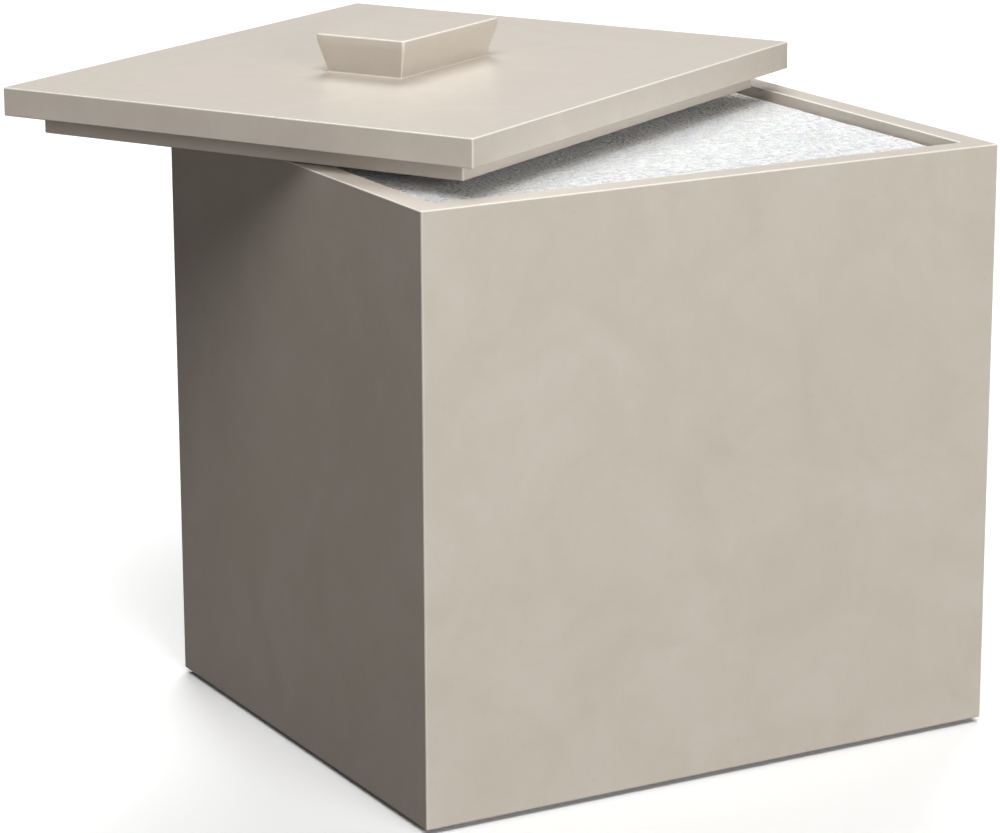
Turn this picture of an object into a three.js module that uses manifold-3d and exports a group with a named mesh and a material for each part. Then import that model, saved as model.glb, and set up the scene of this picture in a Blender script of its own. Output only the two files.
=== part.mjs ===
// A lidded box for folded disposable face towels, shown with its lid laid askew on the rim.
// Millimetres, +Z up. X runs to the right along the front, Y runs to the back.
// The origin is the middle of the felt's underside, where the box stands.

import * as THREE from 'three';
import { mergeVertices } from 'three/addons/utils/BufferGeometryUtils.js';
import Module from 'manifold-3d';

const wasm = await Module();
wasm.setup();

// The box: four mitred walls of lacquered board round a floor, on a felt pad
const boxWidth = 168;
const boxDepth = 143.6;
const wallHeight = 155.8;
const wallThickness = 7;
const floorThickness = 7;
const cornerRound = 0.5;
const edgeRound = 0.35;
const glueFilm = 0.15;
const feltThickness = 1.2;
const feltInset = 3.5;
const feltCornerRound = 2.5;

// The lid: a plate as large as the box, a board beneath it that drops inside the rim, and a knob
const plateThickness = 7.5;
const boardThickness = 4.9;
const boardClearance = 0.4;
const seatGap = 0.3;
const lidTurnDegrees = 29.7;
const lidShiftLeft = 24.4;
const lidShiftBack = 47.1;

// The knob: an upright lip at the top, then four sides that lean in to a smaller foot
const knobWidth = 47.9;
const knobDepth = 27.6;
const knobHeight = 10.3;
const knobLipHeight = 1.8;
const knobFootInset = 2.2;
const knobCornerRound = 0.8;
const knobEdgeRound = 0.5;

// The two countersunk screws that draw the knob down, put in from under the plate
const screwSpacing = 24;
const screwHeadDiameter = 7;
const screwHeadHeight = 2.6;
const screwHeadRim = 0.4;
const screwShankDiameter = 3.5;
const screwGripInKnob = 6.5;
const screwTipLength = 1.6;
const screwClearance = 0.3;

// The towels: one stack of equal folded towels, filling the box nearly to the rim
const towelCount = 48;
const towelEndGap = 0.8;
const towelSideGap = 1.3;
const towelsBelowRim = 2.9;
const towelSeparation = 0.3;
const towelCornerRound = 2;
const towelEdgeRoundShare = 0.4;

// How finely the rounds are stepped, and how far a cutting body runs past what it cuts
const panelSteps = { corner: 4, edge: 3 };
const towelSteps = { corner: 2, edge: 1 };
const screwSides = 20;
const cutOverrun = 2;

// Heights and inner sizes that follow from the sizes above
const wallFoot = feltThickness + glueFilm;
const floorTop = wallFoot + floorThickness;
const rim = wallFoot + wallHeight;
const innerWidth = boxWidth - 2 * wallThickness;
const innerDepth = boxDepth - 2 * wallThickness;

const lacquer = { color: 0xc4bcb1, roughness: 0.42, metalness: 0 };
const lidLacquer = { color: 0xcbc3b8, roughness: 0.4, metalness: 0 };
const felt = { color: 0x8d857b, roughness: 0.95, metalness: 0 };
const steel = { color: 0xb4b3b0, roughness: 0.35, metalness: 0.9 };
const nonwoven = { color: 0xf4f4f1, roughness: 0.95, metalness: 0 };

// Shapes

// Points around a rectangle with round corners, anticlockwise from the lower right corner
function roundedRectangle(width, depth, corner, steps) {
  const corners = [[1, -1], [1, 1], [-1, 1], [-1, -1]];
  return corners.flatMap(([sideX, sideY], quarter) => {
    const centre = new THREE.Vector2(sideX * (width / 2 - corner), sideY * (depth / 2 - corner));
    return Array.from({ length: steps + 1 }, (_, step) => {
      const angle = (quarter - 1 + step / steps) * (Math.PI / 2);
      return new THREE.Vector2(Math.cos(angle), Math.sin(angle)).multiplyScalar(corner).add(centre);
    });
  });
}

// A flat slab that stands on z = 0, with its upright corners and its upper and lower edges rounded
function slab(width, depth, thickness, corner, edge, steps = panelSteps) {
  const outline = new THREE.Shape(roundedRectangle(width, depth, corner, steps.corner));
  const body = new THREE.ExtrudeGeometry(outline, {
    depth: thickness - 2 * edge,
    bevelThickness: edge,
    bevelSize: edge,
    bevelOffset: -edge,
    bevelSegments: steps.edge,
  });
  return body.translate(0, 0, edge);
}

// A closed body through a pile of rounded rectangles that all have the same number of points
function loftedBlock(sections) {
  const rings = sections.map(({ width, depth, corner, z }) => (
    roundedRectangle(width, depth, corner, panelSteps.corner).map(({ x, y }) => [x, y, z])
  ));
  const count = rings[0].length;
  const last = rings.length - 1;
  const places = rings.flat(2);
  const faces = [];
  for (let ring = 0; ring < last; ring += 1) {
    for (let i = 0; i < count; i += 1) {
      const next = (i + 1) % count;
      const low = ring * count;
      const high = low + count;
      faces.push(low + i, low + next, high + next, low + i, high + next, high + i);
    }
  }
  for (let i = 1; i < count - 1; i += 1) {
    faces.push(0, i + 1, i, last * count, last * count + i, last * count + i + 1);
  }
  const body = new THREE.BufferGeometry();
  body.setAttribute('position', new THREE.Float32BufferAttribute(places, 3));
  body.setIndex(faces);
  return body;
}

// A turned body on a vertical axis, from a profile of radius and height that starts and ends on the axis
function turned(profile) {
  const points = profile.map(([radius, height]) => new THREE.Vector2(radius, height));
  return new THREE.LatheGeometry(points, screwSides).rotateX(Math.PI / 2);
}

// Cutting and keeping: geometry to solid and back

function toSolid(geometry) {
  const bare = geometry.clone();
  bare.deleteAttribute('normal');
  bare.deleteAttribute('uv');
  const merged = mergeVertices(bare);
  return new wasm.Manifold(new wasm.Mesh({
    numProp: 3,
    vertProperties: merged.attributes.position.array,
    triVerts: new Uint32Array(merged.index.array),
  }));
}

function toGeometry(solid) {
  const mesh = solid.getMesh();
  const geometry = new THREE.BufferGeometry();
  geometry.setAttribute('position', new THREE.BufferAttribute(mesh.vertProperties, 3));
  geometry.setIndex(new THREE.BufferAttribute(mesh.triVerts, 1));
  geometry.computeVertexNormals();
  return geometry;
}

function piece(name, geometry, finish) {
  const mesh = new THREE.Mesh(geometry, new THREE.MeshStandardMaterial(finish));
  mesh.name = name;
  return mesh;
}

// The walls are cut from one ring, so that their rounded edges run on across each mitre
function wallRing() {
  const outer = slab(boxWidth, boxDepth, wallHeight, cornerRound, edgeRound);
  const flare = [];
  for (let step = 0; step <= panelSteps.edge; step += 1) {
    const angle = (step / panelSteps.edge) * (Math.PI / 2);
    flare.push({
      widening: edgeRound * (1 - Math.cos(angle)),
      z: wallHeight - edgeRound * (1 - Math.sin(angle)),
    });
  }
  flare.push({ widening: edgeRound, z: wallHeight + cutOverrun });
  const hollow = [{ widening: 0, z: -cutOverrun }, ...flare].map(({ widening, z }) => ({
    width: innerWidth + 2 * widening,
    depth: innerDepth + 2 * widening,
    corner: edgeRound + widening,
    z,
  }));
  return toSolid(outer).subtract(toSolid(loftedBlock(hollow)));
}

// The part of the plan that belongs to one wall: it narrows inwards at 45 degrees from both ends,
// and stays half a glue film clear of each mitre
function mitreWedge(length, breadth) {
  const shrink = glueFilm * Math.SQRT1_2;
  const outer = length / 2 + cutOverrun - shrink;
  const inner = length / 2 - wallThickness - cutOverrun - shrink;
  const outerLine = -breadth / 2 - cutOverrun;
  const innerLine = -breadth / 2 + wallThickness + cutOverrun;
  const plan = new THREE.Shape([
    new THREE.Vector2(-outer, outerLine),
    new THREE.Vector2(outer, outerLine),
    new THREE.Vector2(inner, innerLine),
    new THREE.Vector2(-inner, innerLine),
  ]);
  const wedge = new THREE.ExtrudeGeometry(plan, {
    depth: wallHeight + 2 * cutOverrun,
    bevelEnabled: false,
  });
  return wedge.translate(0, 0, -cutOverrun);
}

function walls() {
  const ring = wallRing();
  const sides = [
    { name: 'front_panel', length: boxWidth, breadth: boxDepth, turn: 0 },
    { name: 'right_panel', length: boxDepth, breadth: boxWidth, turn: Math.PI / 2 },
    { name: 'back_panel', length: boxWidth, breadth: boxDepth, turn: Math.PI },
    { name: 'left_panel', length: boxDepth, breadth: boxWidth, turn: -Math.PI / 2 },
  ];
  return sides.map(({ name, length, breadth, turn }) => {
    const wedge = mitreWedge(length, breadth).rotateZ(turn);
    const wall = piece(name, toGeometry(ring.intersect(toSolid(wedge))), lacquer);
    wall.position.z = wallFoot;
    return wall;
  });
}

// The floor is glued between the walls, level with their lower edges
function floorPanel() {
  const width = innerWidth - 2 * glueFilm;
  const depth = innerDepth - 2 * glueFilm;
  const panel = piece('bottom_panel', slab(width, depth, floorThickness, cornerRound, edgeRound), lacquer);
  panel.position.z = wallFoot;
  return panel;
}

function feltPad() {
  const width = boxWidth - 2 * feltInset;
  const depth = boxDepth - 2 * feltInset;
  const outline = roundedRectangle(width, depth, feltCornerRound, panelSteps.corner);
  const pad = new THREE.ExtrudeGeometry(new THREE.Shape(outline), {
    depth: feltThickness,
    bevelEnabled: false,
  });
  return piece('base_felt', pad, felt);
}

function towels() {
  const width = innerWidth - 2 * towelEndGap;
  const depth = innerDepth - 2 * towelSideGap;
  const pitch = (rim - towelsBelowRim - floorTop) / towelCount;
  const thickness = pitch - towelSeparation;
  const edge = thickness * towelEdgeRoundShare;
  return Array.from({ length: towelCount }, (_, index) => {
    const name = `towel_${String(index + 1).padStart(2, '0')}`;
    const folded = slab(width, depth, thickness, towelCornerRound, edge, towelSteps);
    const towel = piece(name, folded, nonwoven);
    towel.position.z = floorTop + towelSeparation + index * pitch;
    return towel;
  });
}

// Screws stand head down with the head flush in the plate's underside
const screwLength = plateThickness + glueFilm + screwGripInKnob;

function screwBody(grow, tip) {
  const head = screwHeadDiameter / 2 + grow;
  const shank = screwShankDiameter / 2 + grow;
  const foot = tip ? 0 : -cutOverrun;
  const point = tip ? [[shank, screwLength - screwTipLength]] : [[shank, screwLength + grow]];
  return turned([
    [0, foot],
    [head, foot],
    [head, screwHeadRim],
    [shank, screwHeadHeight + grow],
    ...point,
    [0, screwLength + grow],
  ]);
}

function screwPlaces() {
  return [-screwSpacing / 2, screwSpacing / 2];
}

function lidPlate() {
  let plate = toSolid(slab(boxWidth, boxDepth, plateThickness, cornerRound, edgeRound));
  for (const x of screwPlaces()) {
    plate = plate.subtract(toSolid(screwBody(screwClearance, false).translate(x, 0, 0)));
  }
  return piece('lid_plate', toGeometry(plate), lidLacquer);
}

function lidBoard() {
  const width = innerWidth - 2 * boardClearance;
  const depth = innerDepth - 2 * boardClearance;
  return piece('lid_board', slab(width, depth, boardThickness, cornerRound, edgeRound), lidLacquer);
}

function knob() {
  const across = (inset, z) => ({
    width: knobWidth - 2 * inset,
    depth: knobDepth - 2 * inset,
    corner: knobCornerRound,
    z,
  });
  const sections = [];
  for (let step = 0; step <= panelSteps.edge; step += 1) {
    const angle = (step / panelSteps.edge) * (Math.PI / 2);
    const inset = knobFootInset + knobEdgeRound * (1 - Math.sin(angle));
    sections.push(across(inset, knobEdgeRound * (1 - Math.cos(angle))));
  }
  sections.push(across(0, knobHeight - knobLipHeight));
  for (let step = 0; step <= panelSteps.edge; step += 1) {
    const angle = (step / panelSteps.edge) * (Math.PI / 2);
    const z = knobHeight - knobEdgeRound * (1 - Math.sin(angle));
    sections.push(across(knobEdgeRound * (1 - Math.cos(angle)), z));
  }
  let block = toSolid(loftedBlock(sections));
  const drop = plateThickness + glueFilm;
  for (const x of screwPlaces()) {
    block = block.subtract(toSolid(screwBody(screwClearance, false).translate(x, 0, -drop)));
  }
  return piece('lid_knob', toGeometry(block), lidLacquer);
}

function knobScrews() {
  const names = ['knob_screw_left', 'knob_screw_right'];
  return screwPlaces().map((x, index) => {
    const screw = piece(names[index], screwBody(0, true), steel);
    screw.position.x = x;
    return screw;
  });
}

// The lid is built square on its own middle, then turned and laid back and to the left on the rim
function lid() {
  const plateFoot = boardThickness + glueFilm;
  const onPlate = new THREE.Group();
  onPlate.add(lidPlate(), ...knobScrews());
  onPlate.position.z = plateFoot;
  const top = knob();
  top.position.z = plateFoot + plateThickness + glueFilm;
  const group = new THREE.Group();
  group.add(lidBoard(), onPlate, top);
  group.rotation.z = THREE.MathUtils.degToRad(lidTurnDegrees);
  group.position.set(-lidShiftLeft, lidShiftBack, rim + seatGap);
  return group;
}

const towelBox = new THREE.Group();
towelBox.add(...walls(), floorPanel(), feltPad(), ...towels(), lid());

export default towelBox;
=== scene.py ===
from math import cos, pi, radians, sin

import bpy
from mathutils import Matrix, Vector, noise


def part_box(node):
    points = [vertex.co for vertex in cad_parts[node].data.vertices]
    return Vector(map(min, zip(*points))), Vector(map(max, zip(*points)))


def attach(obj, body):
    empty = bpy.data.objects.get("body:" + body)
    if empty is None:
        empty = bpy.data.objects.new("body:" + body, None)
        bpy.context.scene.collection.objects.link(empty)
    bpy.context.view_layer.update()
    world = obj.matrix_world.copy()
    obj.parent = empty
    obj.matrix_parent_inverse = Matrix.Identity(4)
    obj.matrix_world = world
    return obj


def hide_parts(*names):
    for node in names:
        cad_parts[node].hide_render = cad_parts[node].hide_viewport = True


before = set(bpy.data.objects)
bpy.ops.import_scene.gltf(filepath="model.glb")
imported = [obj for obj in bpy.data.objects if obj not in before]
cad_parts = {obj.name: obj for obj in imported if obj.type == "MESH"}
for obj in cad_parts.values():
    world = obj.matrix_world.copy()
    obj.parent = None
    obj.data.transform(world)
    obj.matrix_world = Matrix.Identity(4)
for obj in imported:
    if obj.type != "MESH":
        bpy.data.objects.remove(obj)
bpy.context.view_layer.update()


# The four walls. Each is a board of fine fibreboard, mitred at both ends, glued to its neighbours
# and sprayed in satin taupe lacquer after assembly, so that no seam shows at the corners.
wall_low = Vector(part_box("left_panel")[0])
wall_high = Vector(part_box("right_panel")[1])
box_width = wall_high.x - wall_low.x
box_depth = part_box("back_panel")[1][1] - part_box("front_panel")[0][1]
wall_height = wall_high.z - wall_low.z
wall_thickness = 0.007
corner_round = 0.0005
edge_round = 0.00035
round_steps = 6
sharpest_smooth_bend = radians(40)

# How bright a highlight is painted as a pale line along an edge: 0 is none, and 1 is the full pale colour
corner_highlight = 0.2
front_rim_highlight = 0.4
other_rim_highlight = 1.0


def quarter_round(centre_inset, centre_height, radius, start, highlight_level):
    # Points of a quarter circle in the cut across a board: inset, height, and how much highlight is
    # painted there
    points = []
    for step in range(round_steps + 1):
        angle = start + pi / 2 * step / round_steps
        inset = centre_inset + radius * cos(angle)
        height = centre_height + radius * sin(angle)
        points.append((inset, height, highlight_level if 0 < step < round_steps else 0.0))
    return points


def wall_cut(rim_highlight):
    # The cut across a wall, from its lower outer edge round to its lower inner edge
    top = wall_height - edge_round
    far = wall_thickness - edge_round
    foot = quarter_round(edge_round, edge_round, edge_round, pi, 0.0)[::-1]
    over_rim = quarter_round(edge_round, top, edge_round, pi / 2, rim_highlight)[::-1]
    into_box = quarter_round(far, top, edge_round, 0, rim_highlight)[::-1]
    return foot + over_rim + into_box + [(wall_thickness, 0, 0.0)]


def wall_line(length, breadth, inset):
    # One wall's share of an outline around the box, from mitre to mitre, with its rounded corners
    if inset < wall_thickness / 2:
        radius = corner_round - inset
    else:
        radius = edge_round + wall_thickness - inset
    centre_x = length / 2 - inset - radius
    centre_y = -(breadth / 2 - inset - radius)
    line = []
    for side, start in ((-1, -3 * pi / 4), (1, -pi / 2)):
        for step in range(round_steps + 1):
            angle = start + pi / 4 * step / round_steps
            x = side * centre_x + radius * cos(angle)
            y = centre_y + radius * sin(angle)
            flat_end = step == (round_steps if side < 0 else 0)
            line.append((x, y, not flat_end))
    return line


def mesh_piece(name, points, faces, edge_highlights, material):
    # A mesh object at the origin that carries one number a point: how much highlight is painted there
    mesh = bpy.data.meshes.new(name)
    mesh.from_pydata([tuple(point) for point in points], [], faces)
    mesh.validate()
    marks = mesh.attributes.new("edge", "FLOAT", "POINT")
    marks.data.foreach_set("value", edge_highlights)
    mesh.polygons.foreach_set("use_smooth", [True] * len(mesh.polygons))
    mesh.set_sharp_from_angle(angle=sharpest_smooth_bend)
    mesh.materials.append(material)
    piece = bpy.data.objects.new(name, mesh)
    bpy.context.scene.collection.objects.link(piece)
    return piece


def flat_faces_first(piece):
    # The large flats keep their own direction of shading, and the small rounds turn between them
    weighting = piece.modifiers.new("flats lead", "WEIGHTED_NORMAL")
    weighting.mode = "FACE_AREA"
    weighting.weight = 100
    weighting.keep_sharp = True


def set_socket(tree, socket, given):
    # A socket takes another node's output, or a plain value of its own
    if isinstance(given, bpy.types.NodeSocket):
        tree.links.new(given, socket)
    else:
        socket.default_value = given


def set_sockets(tree, node, **inputs):
    for name, given in inputs.items():
        set_socket(tree, node.inputs[name.replace("_", " ")], given)


def added(tree, kind, **inputs):
    node = tree.nodes.new(kind)
    set_sockets(tree, node, **inputs)
    return node


def mixed(tree, blend, factor, first, second):
    # A mix of two colours, whose sockets share their names with others, so they go by number
    mix = tree.nodes.new("ShaderNodeMix")
    mix.data_type = "RGBA"
    mix.blend_type = blend
    for number, given in ((0, factor), (6, first), (7, second)):
        set_socket(tree, mix.inputs[number], given)
    return mix.outputs[2]


def worked_out(tree, operation, one, other):
    # One number made from two
    sum_node = tree.nodes.new("ShaderNodeMath")
    sum_node.operation = operation
    set_socket(tree, sum_node.inputs[0], one)
    set_socket(tree, sum_node.inputs[1], other)
    return sum_node.outputs[0]


def stretched(tree, value, low, high, to_low=0, to_high=1):
    # What lies from low to high is spread from to_low to to_high, and what lies outside stops there
    spread = added(tree, "ShaderNodeMapRange", Value=value, From_Min=low, From_Max=high,
                   To_Min=to_low, To_Max=to_high)
    spread.clamp = True
    return spread.outputs["Result"]


def cloudy(tree, place, **inputs):
    return added(tree, "ShaderNodeTexNoise", Vector=place, **inputs).outputs["Fac"]


def relief(tree, height, strength, distance):
    bump = added(tree, "ShaderNodeBump", Height=height, Strength=strength, Distance=distance)
    return bump.outputs["Normal"]


def new_finish(name):
    # A fresh material: itself, its tree of nodes, its shader, and a point's place on its piece
    finish = bpy.data.materials.new(name)
    finish.use_nodes = True
    tree = finish.node_tree
    place = tree.nodes.new("ShaderNodeTexCoord").outputs["Object"]
    return finish, tree, tree.nodes["Principled BSDF"], place


def written(red, green, blue):
    # A colour as a paint chart gives it, 0 to 255 in each of red, green and blue
    def plain(level):
        level /= 255
        return level / 12.92 if level <= 0.04045 else ((level + 0.055) / 1.055) ** 2.4
    return (plain(red), plain(green), plain(blue), 1)


lacquer_shade = written(194, 185, 173)
lacquer_light = written(202, 193, 182)
lacquer_fleck = written(172, 162, 148)
highlight_colour = written(246, 240, 232)
rubbed_darker = (0.25, 0.25, 0.25, 1)
rubbed_lighter = (0.8, 0.8, 0.8, 1)
rubbing_share = 0.06
shade_roughness = 0.38
light_roughness = 0.34


def satin_lacquer(name, shift):
    # Sprayed and rubbed lacquer: a cloudy taupe with soft lighter and darker patches, fine faint
    # rubbing marks, small pin flecks, and a painted highlight: a paler line along the rounded edges
    finish, tree, shader, place = new_finish(name)
    place = added(tree, "ShaderNodeMapping", Vector=place, Location=shift).outputs["Vector"]
    patches = cloudy(tree, place, Scale=34, Detail=5, Roughness=0.55, Distortion=0.9)
    patches = stretched(tree, patches, 0.3, 0.7)
    colour = mixed(tree, "MIX", patches, lacquer_shade, lacquer_light)
    marks = cloudy(tree, place, Scale=150, Detail=4, Roughness=0.65, Distortion=0.6)
    marks = stretched(tree, marks, 0.35, 0.7)
    marks = mixed(tree, "MIX", marks, rubbed_darker, rubbed_lighter)
    colour = mixed(tree, "SOFT_LIGHT", rubbing_share, colour, marks)
    flecks = cloudy(tree, place, Scale=620, Detail=2, Roughness=0.5)
    flecks = stretched(tree, flecks, 0.66, 0.78, to_high=0.25)
    colour = mixed(tree, "MIX", flecks, colour, lacquer_fleck)
    # Painted highlight: each point's number mixes the colour toward a pale line along the edges
    highlight_attribute = tree.nodes.new("ShaderNodeAttribute")
    highlight_attribute.attribute_name = "edge"
    painted_highlight = stretched(tree, highlight_attribute.outputs["Fac"], 0, 1, to_high=0.95)
    colour = mixed(tree, "MIX", painted_highlight, colour, highlight_colour)
    gloss = stretched(tree, patches, 0, 1, to_low=shade_roughness, to_high=light_roughness)
    skin = cloudy(tree, place, Scale=900, Detail=2, Roughness=0.5)
    skin = relief(tree, skin, strength=0.05, distance=0.0002)
    set_sockets(tree, shader, Base_Color=colour, Roughness=gloss, IOR=1.5, Coat_Weight=0.18,
                Coat_Roughness=0.18, Normal=skin)
    return finish


wall_lacquer = satin_lacquer("wall lacquer", shift=(0.31, 0.17, 0.05))


def wall(name, length, breadth, turn, rim_highlight):
    cut = wall_cut(rim_highlight)
    lines = [wall_line(length, breadth, inset) for inset, height, highlight_level in cut]
    across = len(lines[0])
    points, marks = [], []
    for line, (inset, height, highlight_level) in zip(lines, cut):
        upright = inset < edge_round and edge_round <= height <= wall_height - edge_round
        for x, y, on_corner in line:
            points.append(Matrix.Rotation(turn, 3, "Z") @ Vector((x, y, wall_low.z + height)))
            # Painted highlight: a pale line on the rim's rounds, and a fainter one on the upright corners
            marks.append(max(highlight_level, corner_highlight if on_corner and upright else 0.0))
    faces = []
    for row in range(len(lines)):
        next_row = (row + 1) % len(lines)
        for column in range(across - 1):
            here = row * across + column
            there = next_row * across + column
            faces.append((here, here + 1, there + 1, there))
    faces.append([row * across for row in range(len(lines))])
    faces.append([row * across + across - 1 for row in reversed(range(len(lines)))])
    board = mesh_piece(name + "_board", points, faces, marks, wall_lacquer)
    flat_faces_first(board)
    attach(board, "box")
    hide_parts(name)


wall("front_panel", box_width, box_depth, 0, front_rim_highlight)
wall("right_panel", box_depth, box_width, pi / 2, other_rim_highlight)
wall("back_panel", box_width, box_depth, pi, other_rim_highlight)
wall("left_panel", box_depth, box_width, -pi / 2, other_rim_highlight)


# The floor board, glued between the walls level with their lower edges and lacquered with them.
# The towels cover it above and the felt covers it below.
floor_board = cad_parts["bottom_panel"]
floor_board.data.materials.clear()
floor_board.data.materials.append(satin_lacquer("floor lacquer", shift=(0.62, 0.41, 0.27)))


# The felt pad under the box: pressed wool felt a little over a millimetre thick, cut with round
# corners and glued on, which keeps the lacquer off the shelf.
felt_low, felt_high = (Vector(corner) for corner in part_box("base_felt"))
felt_size = felt_high - felt_low
felt_corner_round = 0.0025
felt_soft_edge = 0.0003

# How far the edge is drawn in, as shares of felt_soft_edge, at shares of the felt's thickness
felt_edge = ((0, 1), (0.1, 0.3), (0.3, 0), (0.7, 0), (0.9, 0.3), (1, 1))


def rounded_outline(width, depth, radius):
    # Points around a rounded rectangle, anticlockwise, each marked where it lies on a corner
    line = []
    for quarter, (side_x, side_y) in enumerate(((1, -1), (1, 1), (-1, 1), (-1, -1))):
        for step in range(round_steps + 1):
            angle = (quarter - 1 + step / round_steps) * pi / 2
            x = side_x * (width / 2 - radius) + radius * cos(angle)
            y = side_y * (depth / 2 - radius) + radius * sin(angle)
            line.append((x, y, 0 < step < round_steps))
    return line


def stacked(name, levels, place, material):
    # A closed body through a pile of rounded rectangles, given from the lowest to the highest.
    # No highlight is painted on the lowest and the highest, which are its flat faces.
    points, marks, faces = [], [], []
    for number, (width, depth, radius, height, highlight_level) in enumerate(levels):
        between = 0 < number < len(levels) - 1
        for x, y, on_corner in rounded_outline(width, depth, radius):
            points.append(place @ Vector((x, y, height)))
            marks.append(max(highlight_level, corner_highlight if on_corner else 0.0) if between else 0.0)
    around = len(points) // len(levels)
    for number in range(len(levels) - 1):
        low = number * around
        high = low + around
        for spot in range(around):
            after = (spot + 1) % around
            faces.append((low + spot, low + after, high + after, high + spot))
    faces.append(list(reversed(range(around))))
    faces.append([len(points) - around + spot for spot in range(around)])
    return mesh_piece(name, points, faces, marks, material)


def pressed_felt():
    # Short matted fibres: a mottled grey brown with paler hairs and a soft uneven skin
    finish, tree, shader, place = new_finish("pressed felt")
    mottle = cloudy(tree, place, Scale=260, Detail=6, Roughness=0.7)
    colour = mixed(tree, "MIX", mottle, written(112, 104, 95), written(158, 150, 140))
    hairs = cloudy(tree, place, Scale=1500, Detail=3, Roughness=0.6, Distortion=2)
    pale = stretched(tree, hairs, 0.55, 0.7, to_high=0.5)
    colour = mixed(tree, "MIX", pale, colour, written(190, 184, 175))
    set_sockets(tree, shader, Base_Color=colour, Roughness=0.95, Sheen_Weight=0.3,
                Normal=relief(tree, hairs, strength=0.6, distance=0.0003))
    return finish


felt_levels = []
for share, drawn_in in felt_edge:
    shrink = 2 * felt_soft_edge * drawn_in
    felt_levels.append((felt_size.x - shrink, felt_size.y - shrink, felt_corner_round,
                        felt_low.z + share * felt_size.z, 0.0))
felt_pad = stacked("felt_pad", felt_levels, Matrix.Identity(4), pressed_felt())
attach(felt_pad, "box")
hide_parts("base_felt")


# The towels: soft white nonwoven cloth, 254 by 305 mm, each folded in half and in half again and
# laid on the one below, all with the last fold to the right.
towel_length = 0.305
towel_breadth = 0.254
towel_layers = 4
cloth_thickness = 0.0005
towel_names = sorted(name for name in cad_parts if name.startswith("towel_"))

# The uppermost towels are seen, so they are made finer, and they wave and wander at the edge
towels_in_view = 2
steps_in_view = 60
steps_hidden = 3
turn_steps = 8
most_askew = radians(0.12)
askew_rhythm = 2.4
waves_a_metre = 45
wave_share_of_gap = 0.25
edge_wander = 0.0005
wander_along = 130
wander_upward = 300

# Shares of the finer textures in the cloth's surface, and of the painted shade that darkens its dents
fibre_share = 0.45
loft_share = 0.35
dent_shade_share = 0.05


def folded_path(whole, gap, fine):
    # The way of a strip that runs out, turns back over itself and returns: its place, its height
    # above the middle of the fold, and the direction that was up before the turn
    turn_length = pi * gap / 2
    run = (whole - turn_length) / 2
    stations = [run * step / fine for step in range(fine + 1)]
    path = [(distance, -gap / 2, 0.0, 1.0) for distance in stations]
    for step in range(1, turn_steps):
        angle = -pi / 2 + pi * step / turn_steps
        path.append((run + gap / 2 * cos(angle), gap / 2 * sin(angle), -cos(angle), -sin(angle)))
    path += [(distance, gap / 2, 0.0, -1.0) for distance in reversed(stations)]
    middle = (run + gap / 2) / 2
    return [(place - middle, height, along, up) for place, height, along, up in path]


def nonwoven():
    # Bonded fibres pressed with a fine net of small dents, with loose hairs lying across them, and painted
    # shade in the dents
    finish, tree, shader, place = new_finish("nonwoven cloth")
    net = added(tree, "ShaderNodeTexVoronoi", Vector=place, Scale=620, Randomness=0.8)
    dent_depth_and_shade = stretched(tree, net.outputs["Distance"], 0.05, 0.5, to_low=1, to_high=0)
    fibres = cloudy(tree, place, Scale=560, Detail=3, Roughness=0.7, Distortion=2)
    loft = cloudy(tree, place, Scale=240, Detail=3, Roughness=0.6)
    height = mixed(tree, "MIX", fibre_share, dent_depth_and_shade, fibres)
    height = mixed(tree, "MIX", loft_share, height, loft)
    threads = stretched(tree, fibres, 0.36, 0.58)
    colour = mixed(tree, "MIX", threads, written(233, 234, 236), written(255, 255, 255))
    # Painted shade: the colour is darkened in the dents, where shade falls
    colour = mixed(tree, "MULTIPLY", dent_shade_share, colour, dent_depth_and_shade)
    set_sockets(tree, shader, Base_Color=colour, Roughness=0.9, Sheen_Weight=0.35,
                Subsurface_Weight=0.15, Subsurface_Scale=0.001,
                Normal=relief(tree, height, strength=1, distance=0.0034))
    return finish


cloth = nonwoven()


def folded_towel(name, index, in_view):
    low, high = (Vector(corner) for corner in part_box(name))
    middle = (low + high) / 2
    layer_gap = (high.z - low.z - cloth_thickness) / (towel_layers - 1)
    fine = steps_in_view if in_view else steps_hidden
    first_fold = folded_path(towel_breadth, layer_gap, fine)
    second_fold = folded_path(towel_length, 2 * layer_gap, fine)
    askew = Matrix.Rotation(most_askew * sin(askew_rhythm * index), 3, "Z")
    points = []
    for along_x, height_x, lean_x, up_x in second_fold:
        for along_y, height_y, lean_y, up_y in first_fold:
            spot = Vector((along_x + lean_x * height_y, along_y, height_x + up_x * height_y))
            if in_view:
                wave = noise.noise(Vector((spot.x, spot.y, index)) * waves_a_metre)
                spot.z += wave_share_of_gap * layer_gap * wave
                wander = noise.noise(Vector((spot.y * wander_along, spot.z * wander_upward, index)))
                spot.x += edge_wander * wander * abs(spot.x) / (towel_length / 4)
            points.append(askew @ spot + middle)
    across = len(first_fold)
    faces = []
    for row in range(len(second_fold) - 1):
        for column in range(across - 1):
            corner = row * across + column
            faces.append((corner, corner + across, corner + across + 1, corner + 1))
    towel = mesh_piece(name + "_cloth", points, faces, [0.0] * len(points), cloth)
    body = towel.modifiers.new("cloth thickness", "SOLIDIFY")
    body.thickness = cloth_thickness
    body.offset = 0
    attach(towel, "box")
    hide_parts(name)


for index, name in enumerate(towel_names):
    folded_towel(name, index, index >= len(towel_names) - towels_in_view)


# The lid: a plate as large as the box with a board glued beneath it, which drops inside the rim
# when the lid is put on square. Here it lies turned on the rim, as the box is shown.
lid_turn = radians(29.7)
plate_low, plate_high = (Vector(corner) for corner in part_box("lid_plate"))
lid_middle = (plate_low + plate_high) / 2
lid_place = Matrix.Translation((lid_middle.x, lid_middle.y, 0)) @ Matrix.Rotation(lid_turn, 4, "Z")
board_clearance = 0.0004
board_inset = wall_thickness + board_clearance
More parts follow.
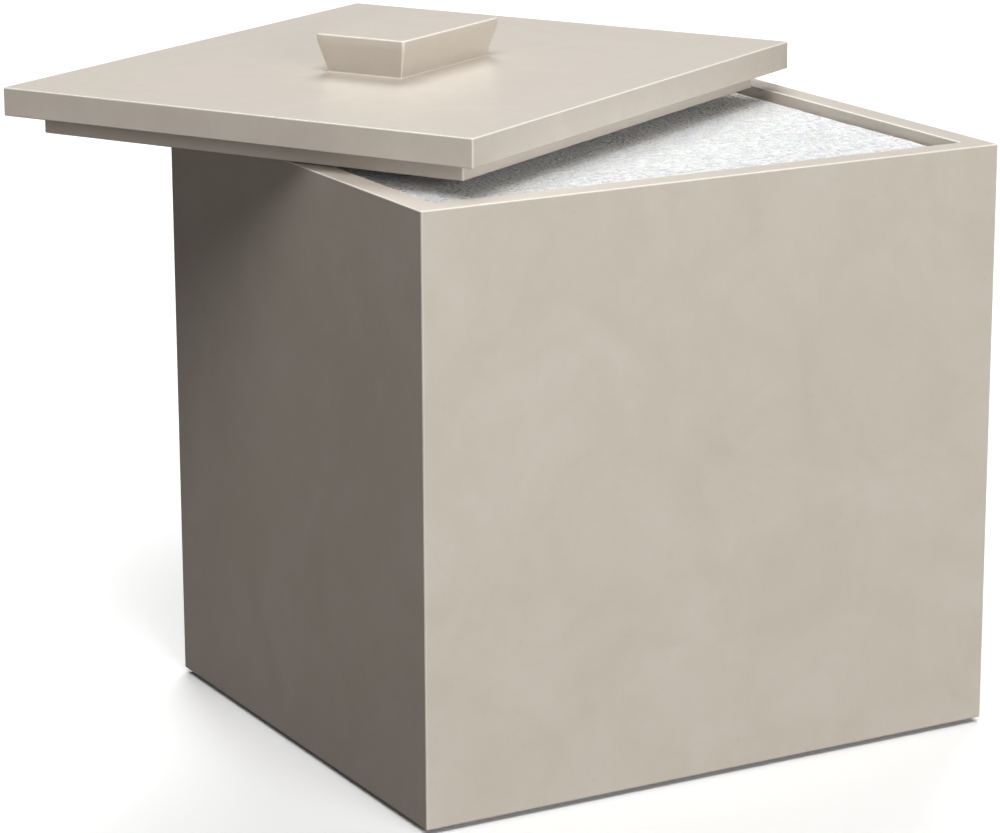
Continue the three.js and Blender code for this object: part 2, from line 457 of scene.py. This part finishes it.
# Painted highlight along the plate's upper edges
plate_edge_highlight = 0.6
lid_lacquer = satin_lacquer("lid lacquer", shift=(0.84, 0.02, 0.53))


def lid_slab(name, width, depth, upper_highlight):
    # A flat board with every edge rounded alike, between the heights of its solid
    low, high = (corner[2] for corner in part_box(name))
    lower_half, upper_half = [], []
    for step in range(round_steps + 1):
        angle = pi / 2 * step / round_steps
        inset = edge_round * (1 - sin(angle))
        rise = edge_round * (1 - cos(angle))
        outline = (width - 2 * inset, depth - 2 * inset, corner_round - inset)
        lower_half.append((*outline, low + rise, 0.0))
        # The highlight is painted on the upper rounds only, none on the lower ones
        upper_half.append((*outline, high - rise, upper_highlight if step < round_steps else 0.0))
    slab = stacked(name + "_lacquered", lower_half + upper_half[::-1], lid_place, lid_lacquer)
    flat_faces_first(slab)
    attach(slab, "lid")
    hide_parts(name)


lid_slab("lid_plate", box_width, box_depth, plate_edge_highlight)
lid_slab("lid_board", box_width - 2 * board_inset, box_depth - 2 * board_inset, 0.0)


# The knob: one solid block with an upright lip, whose four sides lean in to a smaller foot. It is
# lacquered with the lid and drawn down on the plate by two screws from below.
knob_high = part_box("lid_knob")[1][2]
knob_width = 0.0479
knob_depth = 0.0276
knob_lip_height = 0.0018
knob_foot_inset = 0.0022
knob_round = 0.0004
knob_corner_round = 0.0008
knob_corner_tightening = 0.6
knob_bend = 0.0012
knob_seat = plate_high.z
foot_bead = 0.0004
# Painted highlights on the bead round the knob's foot and on the knob's rounded top edge
foot_bead_highlight = 0.25
knob_top_highlight = 0.6


def knob_levels():
    # From the bead of lacquer that runs round the foot, up the leaning sides and over the lip
    levels = []

    def level(inset, height, highlight_level):
        radius = max(knob_corner_round - knob_corner_tightening * inset, edge_round)
        levels.append((knob_width - 2 * inset, knob_depth - 2 * inset, radius, height, highlight_level))

    for step in range(round_steps + 1):
        angle = pi / 2 * step / round_steps
        level(knob_foot_inset - foot_bead * (1 - sin(angle)),
              knob_seat + foot_bead * (1 - cos(angle)), foot_bead_highlight if step < round_steps else 0.0)
    lip = knob_high - knob_lip_height
    slope = knob_foot_inset / (lip - knob_seat - foot_bead)
    for step in range(round_steps + 1):
        share = step / round_steps
        height = lip - knob_bend + 2 * knob_bend * share
        level(slope * knob_bend * (1 - share) ** 2, height, 0.0)
    for step in range(round_steps + 1):
        angle = pi / 2 * step / round_steps
        level(knob_round * (1 - cos(angle)), knob_high - knob_round * (1 - sin(angle)),
              knob_top_highlight if 0 < step < round_steps else 0.0)
    return levels


knob_block = stacked("knob_block", knob_levels(), lid_place, lid_lacquer)
flat_faces_first(knob_block)
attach(knob_block, "lid")
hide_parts("lid_knob")


# The two screws that hold the knob: zinc-plated steel, driven up from below, and hidden in the
# plate and the knob.
def plated_steel():
    # Bright zinc with a faint cloudy bloom
    finish, tree, shader, place = new_finish("plated steel")
    bloom = cloudy(tree, place, Scale=900, Detail=4, Roughness=0.6)
    colour = mixed(tree, "MIX", bloom, written(168, 166, 160), written(205, 205, 202))
    set_sockets(tree, shader, Base_Color=colour, Metallic=1,
                Roughness=stretched(tree, bloom, 0.3, 0.7, to_low=0.3, to_high=0.45))
    return finish


zinc = plated_steel()
for name in ("knob_screw_left", "knob_screw_right"):
    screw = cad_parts[name]
    screw.data.materials.clear()
    screw.data.materials.append(zinc)


# The pale floor the box stands on. Close to the box it shows the soft shadow, and farther out it
# glows white. It throws only a little light back up, as a dull table in a dark studio does.
floor_reach = 6
floor_as_seen = (0.93, 0.93, 0.93, 1)
floor_thrown_back = (0.09, 0.079, 0.072, 1)
glow_starts = 1
glow_is_full = 3
least_glow = 0.03
white = (1, 1, 1, 1)


def seen_or_mirrored(tree):
    # 1 for rays that the camera sends and for those that gloss or glass sends on, and 0 for others
    ray = tree.nodes.new("ShaderNodeLightPath").outputs
    mirrored = worked_out(tree, "MAXIMUM", ray["Is Glossy Ray"], ray["Is Transmission Ray"])
    return worked_out(tree, "MAXIMUM", ray["Is Camera Ray"], mirrored)


def pale_floor():
    # Pale for the camera, dull for the light that it gives the box, and aglow far off
    finish, tree, shader, place = new_finish("pale floor")
    seen = tree.nodes.new("ShaderNodeLightPath").outputs["Is Camera Ray"]
    colour = mixed(tree, "MIX", seen, floor_thrown_back, floor_as_seen)
    away = added(tree, "ShaderNodeVectorMath", Vector=place)
    away.operation = "LENGTH"
    glow = stretched(tree, away.outputs["Value"], glow_starts, glow_is_full, to_low=least_glow)
    glow = worked_out(tree, "MULTIPLY", seen_or_mirrored(tree), glow)
    set_sockets(tree, shader, Base_Color=colour, Roughness=0.9, Specular_IOR_Level=0.1,
                Emission_Color=white, Emission_Strength=glow)
    return finish


floor_mesh = bpy.data.meshes.new("studio_floor")
floor_mesh.from_pydata([(-floor_reach, -floor_reach, 0), (floor_reach, -floor_reach, 0),
                        (floor_reach, floor_reach, 0), (-floor_reach, floor_reach, 0)], [], [(0, 1, 2, 3)])
floor_mesh.materials.append(pale_floor())
studio_floor = bpy.data.objects.new("studio_floor", floor_mesh)
bpy.context.scene.collection.objects.link(studio_floor)


# The light: a broad soft lamp low in front, a larger one above on the left, and one high behind,
# which all stand far off in a dim room. The left side stays in shade.
lamp_distance = 3
lamp_aim = Vector((0, 0, 0.1))


def soft_lamp(name, azimuth, elevation, size, power):
    lamp = bpy.data.lights.new(name, "AREA")
    lamp.shape = "SQUARE"
    lamp.size = size
    lamp.energy = power
    holder = bpy.data.objects.new(name, lamp)
    bearing, lift = radians(azimuth), radians(elevation)
    toward = Vector((sin(bearing) * cos(lift), -cos(bearing) * cos(lift), sin(lift)))
    holder.location = lamp_aim + lamp_distance * toward
    holder.rotation_euler = (lamp_aim - holder.location).to_track_quat("-Z", "Y").to_euler()
    bpy.context.scene.collection.objects.link(holder)


soft_lamp("front lamp", azimuth=1, elevation=6, size=1.7, power=82)
soft_lamp("top lamp", azimuth=-33, elevation=64, size=2, power=79)
soft_lamp("back lamp", azimuth=150, elevation=50, size=1.7, power=73)


# The room: a white wall that reaches a little way up from the floor, for the camera and for what
# mirrors it, and above it the dark, where the lamps hang. Its heights are sines above the horizon.
wall_fades_from = 0.02
wall_ends_at = 0.1
dim = (0.01, 0.01, 0.01, 1)
room = bpy.data.worlds.new("white wall in a dark room")
room.use_nodes = True
room_tree = room.node_tree
direction = room_tree.nodes.new("ShaderNodeTexCoord").outputs["Generated"]
upward = added(room_tree, "ShaderNodeSeparateXYZ", Vector=direction).outputs["Z"]
white_wall = stretched(room_tree, upward, wall_fades_from, wall_ends_at, to_low=1, to_high=0)
white_wall = worked_out(room_tree, "MULTIPLY", seen_or_mirrored(room_tree), white_wall)
set_sockets(room_tree, room_tree.nodes["Background"], Strength=1,
            Color=mixed(room_tree, "MIX", white_wall, dim, white))
bpy.context.scene.world = room
bpy.context.scene.view_settings.view_transform = "Standard"


# The camera stands as the photo's did, worked out from the box's own edges: its place is measured
# from the near lower corner of the box, in widths of the box.
image_width = 1000
focal_in_pixels = 3682.9
widths_from_corner = Vector((-2.3678, -4.4749, 1.9879))
camera_turn = radians(29.126)
camera_tip = radians(15.024)
camera_roll = radians(-0.214)
lens = bpy.data.cameras.new("photo camera")
lens.sensor_width = 36
lens.lens = lens.sensor_width * focal_in_pixels / image_width
camera = bpy.data.objects.new("photo camera", lens)
near_corner = Vector((-box_width / 2, -box_depth / 2, wall_low.z))
looking = (Matrix.Rotation(-camera_turn, 4, "Z") @ Matrix.Rotation(pi / 2 - camera_tip, 4, "X")
           @ Matrix.Rotation(camera_roll, 4, "Z"))
camera.matrix_world = Matrix.Translation(near_corner + widths_from_corner * box_width) @ looking
bpy.context.scene.collection.objects.link(camera)
bpy.context.scene.camera = camera
